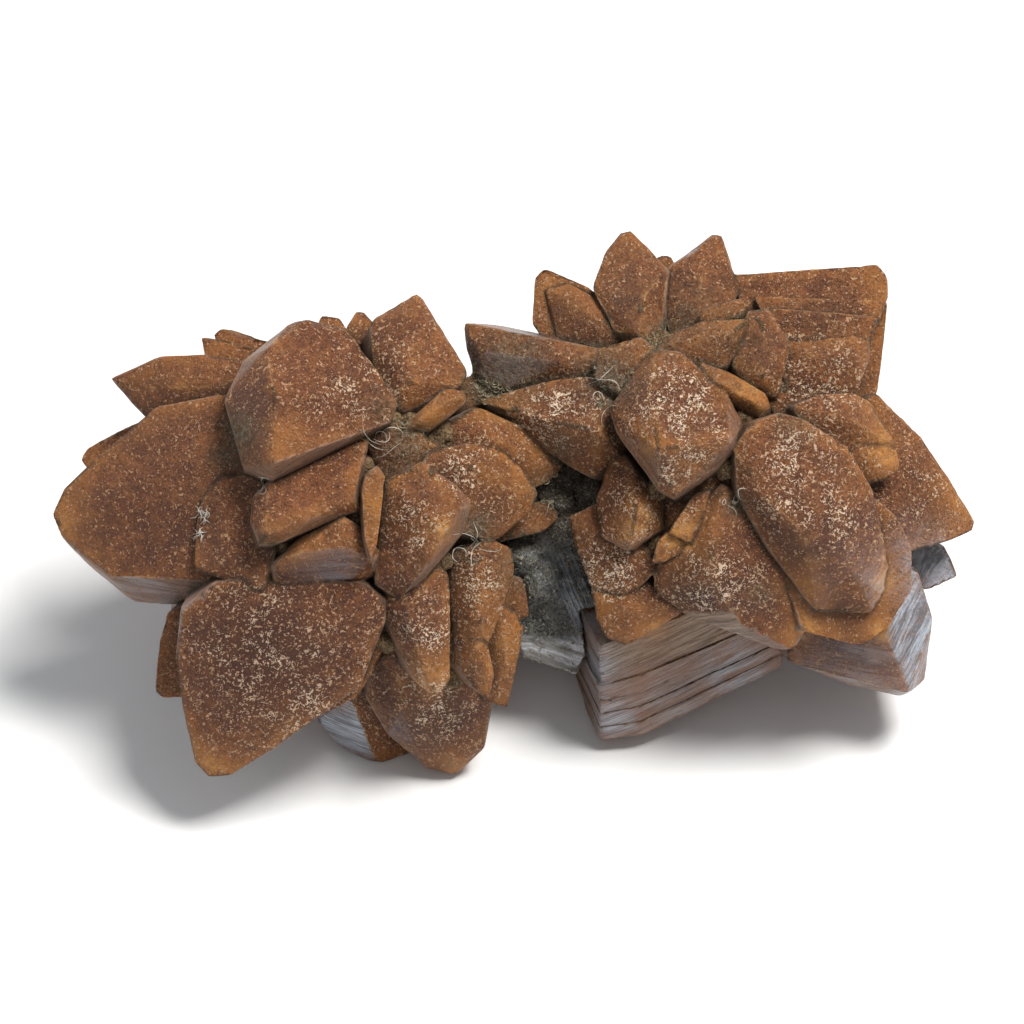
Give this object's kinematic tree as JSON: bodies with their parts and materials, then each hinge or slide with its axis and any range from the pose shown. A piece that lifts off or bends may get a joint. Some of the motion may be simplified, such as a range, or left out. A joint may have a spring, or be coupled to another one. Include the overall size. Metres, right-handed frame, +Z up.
{
  "type": "glendonite specimen",
  "caption": "Twin rosettes of steep brown calcite crystals grown into each other, with grey clay between them, resting on crystal flats.",
  "frame": {"origin": "middle of the underside of the bounding box, on the surface that the specimen stands on", "axes": "+X along the specimen, from the smaller-bladed rosette on the left to the one with the broad slab on the right; +Z up; the best side faces -Y and up"},
  "size_m": [0.0928, 0.0492, 0.0396],
  "materials": {
    "calcite": "waxy reddish-brown calcite with amber translucent edges, cream flecks and fine growth lines on its steep flanks",
    "clay": "dry grey-green clay with a rough crumbly surface"
  },
  "bodies": {
    "root": {"crystal_cluster": "calcite", "clay_matrix": "clay"}
  },
  "joints": []
}
